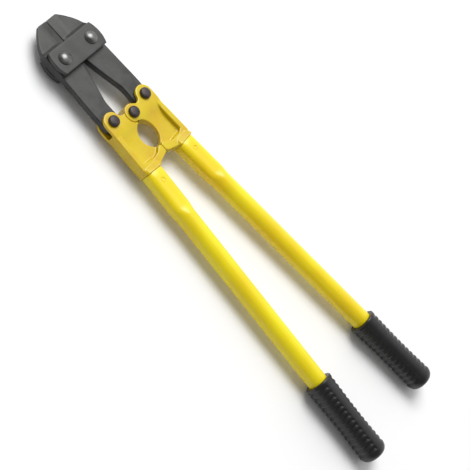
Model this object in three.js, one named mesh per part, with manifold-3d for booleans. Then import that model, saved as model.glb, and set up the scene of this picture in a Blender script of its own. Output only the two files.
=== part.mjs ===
// Bolt cutters: two jaws between side plates, worked by two handles through a compound lever.
// Millimetres, +Z up. While it is built, the origin is the centre bolt, halfway through the tool's
// thickness, and +Y points to the jaws. The tool lies flat with its jaws closed.
import * as THREE from "three";
import { mergeVertices } from "three/addons/utils/BufferGeometryUtils.js";
import Module from "manifold-3d";

const wasm = await Module();
wasm.setup();

// ---- Driving sizes ----

// Places of the pivots and of the two ends.
const jawReach = 137; // centre bolt to the jaw tips
const handleLength = 474; // centre bolt's level to the end of a grip, along the handle
const handleOffset = 26.2; // handle axis to the middle of the tool, at the centre bolt's level
const handleSpread = 4.4; // degrees that each handle leans out
const jawBolt = new THREE.Vector2(23, 92);
const linkBolt = new THREE.Vector2(29.5, 7);

// Jaws.
const jawThickness = 12;
const armThickness = 9;
const noseThickness = 6.6; // past the shoulder at the side plates
const noseShoulder = 4; // length of that shoulder
const tipThickness = 5.2;
const tipHalfWidth = 14.5;
const hubHalfWidth = 38;
const bevelWidth = 14.3;
const edgeLand = 0.6; // flat left on the cutting edge
const armGapAtPlate = 3.5; // middle of the tool to the arm's inner edge, below the plates
const armEndRadius = 10.5;
const heelRadius = 14.2; // link bolt to the heel of the arm

// Side plates.
const plateThickness = 6;
const plateHeight = 30;
const plateHalfWidth = 38.5;
const plateEndRadius = 34;

// Handle heads.
const headThickness = 18;
const webThickness = 6;
const lobeRadius = 11.75; // round the link bolts
const centreLobeRadius = 11;
const eyeHalfWidth = 13;
const eyeTop = -10.5;
const stopTop = -47;
const stopBottom = -55.5;
const rimWidth = 8.5;
const collarEnd = 62.2; // along the handle, where the tube starts
const collarWall = 1.2; // how far the collar stands over the tube

// Tubes and grips.
const tubeDiameter = 24;
const tubeWall = 2;
const pressedSpread = 2; // how much wider than round the tube is pressed over the tang
const pressedSquash = 4; // and how much flatter
const pressedSquareness = 2.8;
const pressedLength = 48;
const pressedBlend = 14; // from the pressed section back to round
const gripLength = 110;
const gripDiameter = 34;
const gripWaist = 32;
const gripEndWall = 5;

// Fasteners.
const jawBoltDiameter = 10;
const jawHeadDiameter = 16;
const jawHeadHeight = 3.8;
const jawNutWidth = 17; // across the flats
const jawBushWall = 2.5;
const pivotBoltDiameter = 8;
const pivotHeadDiameter = 13.4;
const pivotHeadHeight = 4.4;
const pivotNutWidth = 13;
const pivotNutHeight = 4;
const washerDiameter = 14.5;
const washerThickness = 1.2;
const pinDiameter = 5;
const pinPlace = 76; // along the handle

// How finely round shapes are cut into flats.
const turnedFlats = 20;
const handleFlats = 24;

// Clearances.
const gap = 0.3; // between pieces that move or slide on each other
const seat = 0.2; // between fasteners and what they bear on
const openPivotPlay = 4; // the right jaw's hole is longer than its bush by this much
const openPivotDrop = 0.25; // how far that hole leans down at its inner end

// ---- Sizes that follow ----

const restPlane = -gripDiameter / 2; // jaw nuts and grips lie on one surface
const plateInner = jawThickness / 2 + gap;
const plateOuter = plateInner + plateThickness;
const slotHalf = armThickness / 2 + gap;
const headHalf = headThickness / 2;
const webHalf = webThickness / 2;
const jawBushRadius = jawBoltDiameter / 2 + seat + jawBushWall;
const armSlotRadius = heelRadius + 1.2;
const spreadAngle = THREE.MathUtils.degToRad(handleSpread);
const pressedWidth = tubeDiameter + pressedSpread;
const pressedHeight = tubeDiameter - pressedSquash;
const pressedEnd = collarEnd + gap + pressedLength;

// ---- Solids ----

// A closed geometry as a solid that can be joined and cut.
function solid(geometry) {
  const bare = geometry.clone();
  bare.deleteAttribute("normal");
  bare.deleteAttribute("uv");
  const merged = mergeVertices(bare, 1e-3);
  return new wasm.Manifold(
    new wasm.Mesh({
      numProp: 3,
      vertProperties: merged.attributes.position.array,
      triVerts: new Uint32Array(merged.index.array),
    }),
  );
}

function geometryOf(body) {
  const mesh = body.getMesh();
  const geometry = new THREE.BufferGeometry();
  geometry.setAttribute("position", new THREE.BufferAttribute(mesh.vertProperties, 3));
  geometry.setIndex(new THREE.BufferAttribute(mesh.triVerts, 1));
  geometry.computeVertexNormals();
  return geometry;
}

function join(...bodies) {
  return bodies.reduce((all, body) => all.add(body));
}

function cut(body, ...tools) {
  return tools.reduce((left, tool) => left.subtract(tool), body);
}

// The same geometry on the other side of the tool.
function mirrored(geometry) {
  const copy = geometry.clone().scale(-1, 1, 1);
  const index = copy.index.array;
  for (let i = 0; i < index.length; i += 3) {
    [index[i + 1], index[i + 2]] = [index[i + 2], index[i + 1]];
  }
  copy.computeVertexNormals();
  return copy;
}

// An outline extruded from one level to another. A bevel rounds its edges inside its own outline.
function slab(outline, low, high, bevel = 0) {
  const geometry = new THREE.ExtrudeGeometry(outline, {
    depth: high - low - 2 * bevel,
    bevelEnabled: bevel > 0,
    bevelThickness: bevel,
    bevelSize: bevel,
    bevelOffset: -bevel,
    bevelSegments: 2,
    curveSegments: turnedFlats / 2,
  });
  return geometry.translate(0, 0, low + bevel);
}

function plate(outline, halfThickness, bevel = 0) {
  return solid(slab(outline, -halfThickness, halfThickness, bevel));
}

function disc(centre, radius) {
  return new THREE.Shape().absarc(centre.x, centre.y, radius, 0, 2 * Math.PI);
}

function polygon(...points) {
  return new THREE.Shape(points.map(([x, y]) => new THREE.Vector2(x, y)));
}

// A round solid on the Z axis from [radius, level] pairs that run from the low end to the high end.
function turned(profile) {
  const points = profile.map(([radius, level]) => new THREE.Vector2(radius, level));
  return new THREE.LatheGeometry(points, turnedFlats).rotateX(Math.PI / 2);
}

function drill(centre, radius, low = -50, high = 50) {
  return solid(slab(disc(centre, radius), low, high));
}

// A ring of points round the handle's axis. A squareness of 2 is an ellipse, and more is boxier.
function section(along, halfWidth, halfHeight, squareness = 2) {
  const points = [];
  for (let i = 0; i < handleFlats; i++) {
    const angle = (i / handleFlats) * 2 * Math.PI;
    const curve = (value) => Math.sign(value) * Math.abs(value) ** (2 / squareness);
    const x = halfWidth * curve(Math.cos(angle));
    const z = halfHeight * curve(Math.sin(angle));
    points.push([x, -along, z]);
  }
  return points;
}

// Skin over rings of points. A closed loft runs back to its first ring, and an open one is capped.
function loft(rings, closed) {
  const positions = rings.flat(2);
  const size = rings[0].length;
  const index = [];
  const spans = closed ? rings.length : rings.length - 1;
  for (let ring = 0; ring < spans; ring++) {
    const here = ring * size;
    const next = ((ring + 1) % rings.length) * size;
    for (let i = 0; i < size; i++) {
      const j = (i + 1) % size;
      index.push(here + i, here + j, next + i, here + j, next + j, next + i);
    }
  }
  if (!closed) {
    const last = (rings.length - 1) * size;
    for (let i = 1; i < size - 1; i++) {
      index.push(0, i + 1, i, last, last + i, last + i + 1);
    }
  }
  const geometry = new THREE.BufferGeometry();
  geometry.setAttribute("position", new THREE.Float32BufferAttribute(positions, 3));
  geometry.setIndex(index);
  geometry.computeVertexNormals();
  return geometry;
}

// ---- Finishes ----

const finish = (color, roughness, metalness) => () =>
  new THREE.MeshStandardMaterial({ color, roughness, metalness });
const darkSteel = finish("#55565a", 0.5, 0.7);
const zincSteel = finish("#c9c9c7", 0.3, 0.9);
const oiledSteel = finish("#5b5056", 0.45, 0.8);
const yellowPaint = finish("#e8d21c", 0.35, 0);
const blackRubber = finish("#2a2a2b", 0.75, 0);

const tool = new THREE.Group();

function place(name, geometry, material, parent = tool) {
  const mesh = new THREE.Mesh(geometry, material());
  mesh.name = name;
  parent.add(mesh);
  return mesh;
}

// ---- Jaws ----

// The right jaw: nose and hub at full thickness, and a thinner arm down to the link bolt.
function jaw(play) {
  const face = gap / 2;
  const hubLow = jawBolt.y - plateHeight / 2 + 2;
  const noseBase = jawBolt.y + plateHeight / 2;
  const nose = new THREE.Shape();
  nose.moveTo(face, jawBolt.y + 6);
  nose.lineTo(armGapAtPlate - 0.5, hubLow);
  nose.lineTo(hubHalfWidth, hubLow);
  nose.lineTo(hubHalfWidth, noseBase);
  nose.quadraticCurveTo(hubHalfWidth - 6.5, jawReach - 13, tipHalfWidth, jawReach);
  nose.lineTo(face, jawReach);

  const endLow = linkBolt.y;
  const outerX = linkBolt.x + armEndRadius;
  const heelX = linkBolt.x - heelRadius;
  const arm = new THREE.Shape();
  arm.moveTo(hubHalfWidth - 0.3, hubLow + 3);
  arm.lineTo(armGapAtPlate, hubLow + 3);
  arm.lineTo(armGapAtPlate, hubLow - 2);
  arm.quadraticCurveTo(armGapAtPlate + 3, jawBolt.y - 32, heelX - 1, endLow + 26);
  arm.quadraticCurveTo(heelX + 1, endLow + 20, heelX, endLow + 6);
  arm.lineTo(heelX + 1, endLow);
  arm.absarc(linkBolt.x, linkBolt.y, armEndRadius, Math.PI * 1.15, Math.PI * 2, false);
  arm.lineTo(outerX, endLow + 20);

  // Each side of the nose is trimmed to its taper, and to the bevel that falls to the cutting edge.
  const trims = [1, -1].map((side) => {
    const land = edgeLand / 2;
    const high = jawThickness / 2;
    const ringAt = (y, share) =>
      [
        [face - 1, high * 3],
        [face - 1, land],
        [face, land],
        [bevelWidth * 0.3, high * 0.48],
        [bevelWidth * 0.65, high * 0.84],
        [bevelWidth, high],
        [hubHalfWidth + 5, high],
        [hubHalfWidth + 5, high * 3],
      ].map(([x, z]) => [x, y, side * z * share]);
    const rings = [
      ringAt(noseBase - 1, 1),
      ringAt(noseBase + noseShoulder, noseThickness / jawThickness),
      ringAt(jawReach + 1, tipThickness / jawThickness),
    ];
    return solid(loft(side > 0 ? rings.reverse() : rings, false));
  });

  const whole = join(plate(nose, jawThickness / 2, 0.8), plate(arm, armThickness / 2, 0.8));
  const holeRadius = jawBushRadius + gap;
  const hole = drill(jawBolt, holeRadius);
  const slotEnd = new THREE.Vector2(jawBolt.x - play, jawBolt.y - openPivotDrop);
  const slot = polygon(
    [slotEnd.x, slotEnd.y - holeRadius],
    [jawBolt.x, jawBolt.y - holeRadius],
    [jawBolt.x, jawBolt.y + holeRadius],
    [slotEnd.x, slotEnd.y + holeRadius],
  );
  const longHole = play > 0 ? join(hole, drill(slotEnd, holeRadius), plate(slot, 50)) : hole;
  return geometryOf(cut(whole, ...trims, longHole, drill(linkBolt, pivotBoltDiameter / 2 + gap)));
}

place("jaw_left", mirrored(jaw(0)), darkSteel);
place("jaw_right", jaw(openPivotPlay), darkSteel);

// ---- Side plates, with their bolts, bushes and nuts ----

function sidePlate() {
  const high = jawBolt.y + plateHeight / 2;
  const low = jawBolt.y - plateHeight / 2;
  const centre = plateHalfWidth - plateEndRadius;
  const turn = Math.asin(plateHeight / 2 / plateEndRadius);
  const outline = new THREE.Shape();
  outline.absarc(centre, jawBolt.y, plateEndRadius, -turn, turn, false);
  outline.lineTo(-centre - plateEndRadius * Math.cos(turn), high);
  outline.absarc(-centre, jawBolt.y, plateEndRadius, Math.PI - turn, Math.PI + turn, false);
  outline.lineTo(centre + plateEndRadius * Math.cos(turn), low);
  const body = solid(slab(outline, plateInner, plateOuter, 0.7));
  const holes = [-1, 1].map((side) =>
    drill(new THREE.Vector2(side * jawBolt.x, jawBolt.y), jawBoltDiameter / 2 + seat),
  );
  return geometryOf(cut(body, ...holes));
}

place("side_plate_front", sidePlate(), darkSteel);
place("side_plate_back", sidePlate(), darkSteel).rotation.y = Math.PI;

function hexNut(width, height, bore) {
  const corner = width / 2 / Math.cos(Math.PI / 6);
  const outline = new THREE.Shape();
  for (let i = 0; i < 6; i++) {
    const angle = (i * Math.PI) / 3;
    const point = [corner * Math.cos(angle), corner * Math.sin(angle)];
    if (i === 0) outline.moveTo(...point);
    else outline.lineTo(...point);
  }
  const body = solid(slab(outline, 0, height, 0.5));
  return geometryOf(cut(body, drill(new THREE.Vector2(), bore)));
}

function ring(outer, inner, low, high) {
  return turned([
    [inner, low],
    [outer, low],
    [outer, high],
    [inner, high],
    [inner, low],
  ]);
}

for (const [side, name] of [
  [-1, "left"],
  [1, "right"],
]) {
  const shank = jawBoltDiameter / 2;
  const under = plateOuter + seat;
  const head = jawHeadDiameter / 2;
  const bolt = turned([
    [0, restPlane + 0.5],
    [shank - 0.6, restPlane + 0.5],
    [shank, restPlane + 1.1],
    [shank, under],
    [head, under],
    [head, under + jawHeadHeight * 0.35],
    [head * 0.86, under + jawHeadHeight * 0.75],
    [head * 0.5, under + jawHeadHeight * 0.97],
    [0, under + jawHeadHeight],
  ]);
  place(`jaw_bolt_${name}`, bolt, zincSteel).position.set(side * jawBolt.x, jawBolt.y, 0);

  const bushHalf = plateInner - seat;
  const bush = ring(jawBushRadius, shank + seat, -bushHalf, bushHalf);
  place(`jaw_bush_${name}`, bush, zincSteel).position.set(side * jawBolt.x, jawBolt.y, 0);

  const nutHeight = -restPlane - plateOuter - seat;
  const nut = hexNut(jawNutWidth, nutHeight, shank + seat);
  place(`jaw_nut_${name}`, nut, zincSteel).position.set(side * jawBolt.x, jawBolt.y, restPlane);
}

// ---- Link bolts and centre bolt ----

for (const [name, x, y] of [
  ["link_%_left", -linkBolt.x, linkBolt.y],
  ["centre_%", 0, 0],
  ["link_%_right", linkBolt.x, linkBolt.y],
]) {
  const shank = pivotBoltDiameter / 2;
  const head = pivotHeadDiameter / 2;
  const under = headHalf + seat;
  const washerLow = -headHalf - seat - washerThickness;
  const nutLow = washerLow - seat - pivotNutHeight;
  const bolt = turned([
    [0, nutLow - 0.8],
    [shank - 0.6, nutLow - 0.8],
    [shank, nutLow - 0.2],
    [shank, under],
    [head, under],
    [head, under + pivotHeadHeight - 0.9],
    [head - 0.9, under + pivotHeadHeight],
    [0, under + pivotHeadHeight],
  ]);
  place(name.replace("%", "bolt"), bolt, oiledSteel).position.set(x, y, 0);
  const washer = ring(washerDiameter / 2, shank + seat, washerLow, -headHalf - seat);
  place(name.replace("%", "washer"), washer, oiledSteel).position.set(x, y, 0);
  const nut = hexNut(pivotNutWidth, pivotNutHeight, shank + seat);
  place(name.replace("%", "nut"), nut, oiledSteel).position.set(x, y, nutLow);
}

// ---- Handle heads ----

// Turns a shape made round the handle's own axis into its place on the right of the tool.
function onHandle(geometry) {
  return geometry.rotateZ(spreadAngle).translate(handleOffset, 0, 0);
}

// Middle of the handle at a distance along the tool.
function handleX(y) {
  return handleOffset - y * Math.tan(spreadAngle);
}

// The right head. A head with a fork takes the other head's tongue at the centre bolt.
function head(withFork) {
  const centre = new THREE.Vector2(0, 0);
  const face = gap / 2;
  const outerX = linkBolt.x + lobeRadius;
  const collarX = handleX(-collarEnd);
  const collarHalf = pressedWidth / 2 + collarWall;
  const collarOuter = collarX + collarHalf;
  const collarInner = collarX - collarHalf;

  // Two equal arcs bound the eye between the heads.
  const eyeHalfLength = (eyeTop - stopTop) / 2;
  const eyeRadius = (eyeHalfLength ** 2 + eyeHalfWidth ** 2) / (2 * eyeHalfWidth);
  const eyeCentre = new THREE.Vector2(eyeHalfWidth - eyeRadius, (eyeTop + stopTop) / 2);
  const eye = drill(eyeCentre, eyeRadius);

  // A saddle of this radius runs between the lobes of the two bolts.
  const saddleRadius = 6;
  const span = linkBolt.length();
  const reach = (lobeRadius + centreLobeRadius) / 2 + saddleRadius;
  const rise = Math.sqrt(reach ** 2 - (span / 2) ** 2);
  const saddle = linkBolt.clone().multiplyScalar(0.5);
  saddle.x -= (linkBolt.y / span) * rise;
  saddle.y += (linkBolt.x / span) * rise;
  const bridge = polygon([0, 0], [0, -8], [linkBolt.x, -8], [linkBolt.x, linkBolt.y], [saddle.x, saddle.y]);

  // Thin web over the whole head.
  const web = new THREE.Shape();
  web.moveTo(face, eyeTop + 6);
  web.lineTo(face, stopBottom + 2);
  web.quadraticCurveTo(face, stopBottom, face + 3, stopBottom - 1.5);
  web.lineTo(collarInner + 1.5, -collarEnd + 1);
  web.lineTo(collarOuter - 1.5, -collarEnd + 3);
  web.lineTo(outerX + 1, -24);
  web.lineTo(outerX, 0);
  web.lineTo(linkBolt.x, linkBolt.y);
  const thin = join(
    plate(web, webHalf),
    plate(bridge, webHalf),
    plate(disc(linkBolt, lobeRadius), webHalf),
  );

  // Raised parts: the lobes, the bridge between them, the outer rim and the lower rim.
  const outerRim = new THREE.Shape();
  outerRim.moveTo(outerX, linkBolt.y);
  outerRim.lineTo(outerX - rimWidth * 1.4, linkBolt.y - 4);
  outerRim.quadraticCurveTo(outerX - rimWidth + 1, -14, outerX - rimWidth + 1.4, -26);
  outerRim.lineTo(collarOuter - rimWidth - 1, -collarEnd + 14);
  outerRim.lineTo(collarOuter - 9, -collarEnd + 4);
  outerRim.lineTo(collarOuter - 1.2, -collarEnd + 6);
  outerRim.lineTo(outerX + 1, -24);
  const lowerRim = new THREE.Shape();
  lowerRim.moveTo(face, stopTop + 4);
  lowerRim.lineTo(face, stopBottom + 2);
  lowerRim.quadraticCurveTo(face, stopBottom, face + 3, stopBottom - 1.5);
  lowerRim.lineTo(collarInner + 1.5, -collarEnd + 1);
  lowerRim.lineTo(collarOuter - 4, -collarEnd + 3);
  lowerRim.lineTo(collarOuter - rimWidth - 1, -collarEnd + 14);
  lowerRim.lineTo(collarX - 4, -collarEnd + 9);
  lowerRim.lineTo(collarInner - 6, -collarEnd + 12);
  const bevel = 1.4;
  const raised = join(
    plate(outerRim, headHalf, bevel),
    plate(lowerRim, headHalf - 1, bevel),
    plate(disc(linkBolt, lobeRadius), headHalf, 1),
    plate(disc(centre, centreLobeRadius), headHalf, 1),
    plate(bridge, headHalf),
  );

  // Collar over the tang, both shaped like the pressed tube.
  const collar = loft(
    [
      section(collarEnd - 22, 8, webHalf),
      section(collarEnd - 11, collarHalf - 1, pressedHeight / 2 - 0.5, pressedSquareness),
      section(collarEnd - 6, collarHalf, pressedHeight / 2 + collarWall, pressedSquareness),
      section(collarEnd - 0.8, collarHalf, pressedHeight / 2 + collarWall, pressedSquareness),
      section(collarEnd, collarHalf - 0.8, pressedHeight / 2 + collarWall - 0.8, pressedSquareness),
    ],
    false,
  );
  const inside = tubeWall + gap;
  const tangShape = [pressedWidth / 2 - inside, pressedHeight / 2 - inside, pressedSquareness];
  const tangEnd = pressedEnd - gap;
  const tang = loft([section(collarEnd - 6, ...tangShape), section(tangEnd, ...tangShape)], false);
  const pinHole = drill(new THREE.Vector2(0, -pinPlace), pinDiameter / 2 + seat);
  const socket = cut(join(solid(collar), solid(tang)), pinHole);

  // The arm's slot: a round floor behind the link bolt, open above and on the outer side.
  const slotTop = linkBolt.y + 40;
  const slotRound = plate(disc(linkBolt, armSlotRadius), slotHalf);
  const slotOuter = plate(
    polygon(
      [linkBolt.x, slotTop],
      [linkBolt.x, linkBolt.y - armEndRadius - 1],
      [outerX + 9, linkBolt.y - armEndRadius - 1],
      [outerX + 9, slotTop],
    ),
    slotHalf,
  );
  const boltHole = pivotBoltDiameter / 2 + seat;
  const blank = cut(
    join(thin, raised, solid(onHandle(geometryOf(socket)))),
    eye,
    slotRound,
    slotOuter,
    drill(linkBolt, boltHole),
  );

  // At the centre bolt the fork keeps its cheeks and the tongue keeps its middle.
  const lobe = centreLobeRadius + gap;
  if (withFork) {
    const cheeks = cut(blank, plate(disc(centre, lobe + gap), slotHalf));
    return geometryOf(cut(cheeks, drill(centre, boltHole)));
  }
  const cheekCut = [
    solid(slab(disc(centre, lobe + gap), slotHalf - gap, 50)),
    solid(slab(disc(centre, lobe + gap), -50, gap - slotHalf)),
  ];
  const tongue = cut(blank, ...cheekCut);
  return geometryOf(cut(tongue, drill(centre, pivotBoltDiameter / 2 + gap)));
}

place("handle_head_left", mirrored(head(false)), yellowPaint);
place("handle_head_right", head(true), yellowPaint);

// ---- Handle tubes, pins and grips ----

// The tube is pressed to a boxy section over the tang, and round from there on.
function tubeRings(inset) {
  const round = tubeDiameter / 2 - inset;
  const wide = pressedWidth / 2 - inset;
  const flat = pressedHeight / 2 - inset;
  const tubeEnd = handleLength - gripEndWall - gap;
  const rings = [
    section(collarEnd + gap, wide, flat, pressedSquareness),
    section(pressedEnd, wide, flat, pressedSquareness),
  ];
  for (const share of [0.25, 0.5, 0.75, 1]) {
    rings.push(
      section(
        pressedEnd + pressedBlend * share,
        THREE.MathUtils.lerp(wide, round, share),
        THREE.MathUtils.lerp(flat, round, share),
        THREE.MathUtils.lerp(pressedSquareness, 2, share),
      ),
    );
  }
  rings.push(section(tubeEnd, round, round));
  return rings;
}

function tube() {
  const skin = loft([...tubeRings(0), ...tubeRings(tubeWall).reverse()], true);
  const pinHole = drill(new THREE.Vector2(0, -pinPlace), pinDiameter / 2 + seat);
  return geometryOf(cut(solid(skin), pinHole));
}

// Rubber grip with a plain collar, a slight waist and a domed end. It is turned on the handle's axis.
function grip() {
  const start = handleLength - gripLength;
  const bore = tubeDiameter / 2 + gap;
  const radius = gripDiameter / 2;
  const waist = gripWaist / 2;
  const profile = [
    [0, handleLength - gripEndWall],
    [bore, handleLength - gripEndWall],
    [bore, start],
    [radius - 1.2, start],
    [radius, start + 1.2],
    [radius, start + 6],
    [waist, start + gripLength * 0.25],
    [waist, start + gripLength * 0.55],
    [radius, start + gripLength * 0.82],
    [radius, handleLength - 9],
    [radius * 0.93, handleLength - 4.5],
    [radius * 0.76, handleLength - 1.4],
    [radius * 0.5, handleLength],
    [0, handleLength],
  ];
  const points = profile.map(([r, along]) => new THREE.Vector2(r, -along));
  return new THREE.LatheGeometry(points.reverse(), handleFlats);
}

for (const [side, name] of [
  [-1, "left"],
  [1, "right"],
]) {
  const handle = new THREE.Group();
  handle.position.x = side * handleOffset;
  handle.rotation.z = side * spreadAngle;
  tool.add(handle);
  place(`handle_tube_${name}`, tube(), yellowPaint, handle);
  place(`grip_${name}`, grip(), blackRubber, handle);
  const pinHalf = pressedHeight / 2;
  const pin = turned([
    [0, -pinHalf],
    [pinDiameter / 2 - 0.4, -pinHalf],
    [pinDiameter / 2, 0.4 - pinHalf],
    [pinDiameter / 2, pinHalf - 0.4],
    [pinDiameter / 2 - 0.4, pinHalf],
    [0, pinHalf],
  ]);
  place(`tang_pin_${name}`, pin, yellowPaint, handle).position.y = -pinPlace;
}

// The origin is the middle of the underside of the whole tool.
const box = new THREE.Box3().setFromObject(tool, true);
const middle = box.getCenter(new THREE.Vector3());
tool.position.set(-middle.x, -middle.y, -box.min.z);

const group = new THREE.Group();
group.add(tool);

export default group;
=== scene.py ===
# Bolt cutters: the finished look of every piece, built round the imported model.
# Pieces are shaped in millimetres about the centre bolt and then set down in their place in metres.
import math

import bpy
from mathutils import Matrix, Vector


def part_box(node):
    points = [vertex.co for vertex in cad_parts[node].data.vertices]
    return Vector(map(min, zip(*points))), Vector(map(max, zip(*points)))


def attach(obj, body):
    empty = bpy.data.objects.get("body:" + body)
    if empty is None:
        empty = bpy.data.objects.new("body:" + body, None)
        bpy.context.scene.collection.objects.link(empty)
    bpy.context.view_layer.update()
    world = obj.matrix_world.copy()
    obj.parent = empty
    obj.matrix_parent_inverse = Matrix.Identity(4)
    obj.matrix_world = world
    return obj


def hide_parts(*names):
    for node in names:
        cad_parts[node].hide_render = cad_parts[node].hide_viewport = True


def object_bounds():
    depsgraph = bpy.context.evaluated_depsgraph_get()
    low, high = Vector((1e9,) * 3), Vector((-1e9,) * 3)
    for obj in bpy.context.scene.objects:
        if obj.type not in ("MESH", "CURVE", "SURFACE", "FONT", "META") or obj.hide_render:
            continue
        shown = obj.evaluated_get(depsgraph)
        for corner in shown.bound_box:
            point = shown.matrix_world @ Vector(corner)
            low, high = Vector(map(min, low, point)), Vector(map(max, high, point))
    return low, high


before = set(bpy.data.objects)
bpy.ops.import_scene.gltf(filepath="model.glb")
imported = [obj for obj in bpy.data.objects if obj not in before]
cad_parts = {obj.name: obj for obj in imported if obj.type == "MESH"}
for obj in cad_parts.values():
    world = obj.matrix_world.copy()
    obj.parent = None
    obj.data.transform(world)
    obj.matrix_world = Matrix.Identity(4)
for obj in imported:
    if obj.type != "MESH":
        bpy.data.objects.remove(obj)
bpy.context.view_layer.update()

# ---- Places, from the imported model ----


def middle(node):
    low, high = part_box(node)
    return (low + high) / 2


centre = Vector((middle("centre_bolt").x, middle("centre_bolt").y, middle("jaw_right").z))


def from_centre(node):
    """Middle of a node in millimetres from the centre bolt, on the middle plane."""
    return (middle(node) - centre) * 1000


link_bolt = from_centre("link_bolt_right")
jaw_bolt = from_centre("jaw_bolt_right")
tang_pin = from_centre("tang_pin_right")
jaw_tip = (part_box("jaw_right")[1].y - centre.y) * 1000
floor_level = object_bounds()[0].z

HANDLE_SPREAD = math.radians(4.4)
PIN_PLACE = 76
handle_origin = Vector((tang_pin.x - PIN_PLACE * math.sin(HANDLE_SPREAD), 0, 0))

# ---- Bench work: small helpers for shaping a piece ----


THROUGH = 20  # cutters reach this far from the middle plane, past every piece


def nothing_selected():
    if bpy.context.object and bpy.context.object.mode != "OBJECT":
        bpy.ops.object.mode_set(mode="OBJECT")
    bpy.ops.object.select_all(action="DESELECT")


def pick(piece):
    nothing_selected()
    piece.select_set(True)
    bpy.context.view_layer.objects.active = piece


def edit(piece):
    pick(piece)
    bpy.ops.object.mode_set(mode="EDIT")
    bpy.ops.mesh.select_all(action="SELECT")


def done():
    bpy.ops.object.mode_set(mode="OBJECT")


def tidy_normals(piece):
    edit(piece)
    bpy.ops.mesh.remove_doubles(threshold=0.002)
    bpy.ops.mesh.normals_make_consistent(inside=False)
    done()


def modify(piece, kind, **settings):
    """Adds a modifier with its settings and applies it."""
    pick(piece)
    modifier = piece.modifiers.new(kind.lower(), kind)
    for name, value in settings.items():
        setattr(modifier, name, value)
    bpy.ops.object.modifier_apply(modifier=modifier.name)


def unite(piece, *others):
    for other in others:
        modify(piece, "BOOLEAN", operation="UNION", object=other, solver="EXACT")
        bpy.data.objects.remove(other)
    return piece


def cut(piece, *tools):
    for tool in tools:
        modify(piece, "BOOLEAN", operation="DIFFERENCE", object=tool, solver="EXACT")
        bpy.data.objects.remove(tool)
    return piece


def keep_inside(piece, tool):
    modify(piece, "BOOLEAN", operation="INTERSECT", object=tool, solver="EXACT")
    bpy.data.objects.remove(tool)
    return piece


def round_edges(piece, width, segments=3, angle=35):
    modify(
        piece,
        "BEVEL",
        width=width,
        segments=segments,
        limit_method="ANGLE",
        angle_limit=math.radians(angle),
    )
    return piece


def soften(piece, grain, passes, share=0.5):
    """Skins the whole piece evenly and melts its edges, as a casting or a moulding has them."""
    modify(piece, "REMESH", mode="VOXEL", voxel_size=grain)
    modify(piece, "SMOOTH", factor=share, iterations=passes)
    return piece


def traced(points):
    """A face inside an outline. One vertex is extruded from corner to corner, and the loop is filled."""
    nothing_selected()
    bpy.ops.mesh.primitive_plane_add(size=1, location=points[0])
    piece = bpy.context.object
    pick(piece)
    bpy.ops.object.transform_apply(location=True, rotation=True, scale=True)
    edit(piece)
    bpy.ops.mesh.merge(type="CENTER")
    for here, there in zip(points, points[1:]):
        step = [b - a for a, b in zip(here, there)]
        bpy.ops.mesh.extrude_vertices_move(TRANSFORM_OT_translate={"value": step})
    bpy.ops.mesh.select_all(action="DESELECT")
    done()
    last = len(piece.data.vertices) - 1
    for index in (0, last):
        piece.data.vertices[index].select = True
    bpy.ops.object.mode_set(mode="EDIT")
    bpy.ops.mesh.edge_face_add()
    bpy.ops.mesh.select_all(action="SELECT")
    bpy.ops.mesh.edge_face_add()
    done()
    return piece


def extruded(piece, move):
    edit(piece)
    bpy.ops.mesh.extrude_region_move(TRANSFORM_OT_translate={"value": move})
    done()
    tidy_normals(piece)
    return piece


def slab(outline, low, high):
    """A plate of an outline in plan, from one level to another."""
    face = traced([(x, y, low) for x, y in outline])
    return extruded(face, (0, 0, high - low))


def arc(centre_x, centre_y, radius, start, end, steps=16):
    points = []
    for i in range(steps + 1):
        angle = math.radians(start + (end - start) * i / steps)
        points.append((centre_x + radius * math.cos(angle), centre_y + radius * math.sin(angle)))
    return points


def bow(start, pull, end, steps=12):
    """A curve from start to end, drawn towards a point between them. It leaves out its first point."""
    points = []
    for i in range(1, steps + 1):
        t = i / steps
        points.append(
            tuple(
                (1 - t) ** 2 * a + 2 * t * (1 - t) * b + t * t * c
                for a, b, c in zip(start, pull, end)
            )
        )
    return points


def rod(x, y, radius, low, high, sides=64):
    nothing_selected()
    bpy.ops.mesh.primitive_cylinder_add(
        vertices=sides, radius=radius, depth=high - low, location=(x, y, (low + high) / 2)
    )
    piece = bpy.context.object
    pick(piece)
    bpy.ops.object.transform_apply(location=True, rotation=True, scale=True)
    return piece


def turned(profile, steps=64, axis=(0, 0, 1)):
    """A profile of (radius, level) pairs spun round its axis, as on a lathe."""
    if axis[2]:
        points = [(radius, 0, level) for radius, level in profile]
    else:
        points = [(radius, -level, 0) for radius, level in profile]
    piece = traced(points)
    edit(piece)
    bpy.ops.mesh.delete(type="ONLY_FACE")
    bpy.ops.mesh.select_all(action="SELECT")
    bpy.ops.mesh.spin(steps=steps, angle=math.tau, center=(0, 0, 0), axis=axis)
    done()
    clean_pole(piece)
    return piece


def clean_pole(piece):
    """Merges the points that a spin left together, and drops what has no area."""
    edit(piece)
    bpy.ops.mesh.remove_doubles(threshold=0.002)
    bpy.ops.mesh.select_all(action="SELECT")
    bpy.ops.mesh.dissolve_degenerate(threshold=0.001)
    bpy.ops.mesh.select_all(action="SELECT")
    bpy.ops.mesh.delete_loose(use_verts=True, use_edges=True, use_faces=False)
    bpy.ops.mesh.select_all(action="SELECT")
    bpy.ops.mesh.normals_make_consistent(inside=False)
    done()


def moved(piece, x=0, y=0, z=0, turn=0):
    """Moves a piece, after a turn about the Z axis through the origin."""
    pick(piece)
    piece.rotation_euler.z = turn
    piece.location = (x, y, z)
    bpy.ops.object.transform_apply(location=True, rotation=True, scale=True)
    return piece


def other_hand(piece):
    """Turns a right-hand piece into its left-hand twin."""
    pick(piece)
    piece.scale.x = -1
    bpy.ops.object.transform_apply(location=True, rotation=True, scale=True)
    tidy_normals(piece)
    return piece


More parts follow.
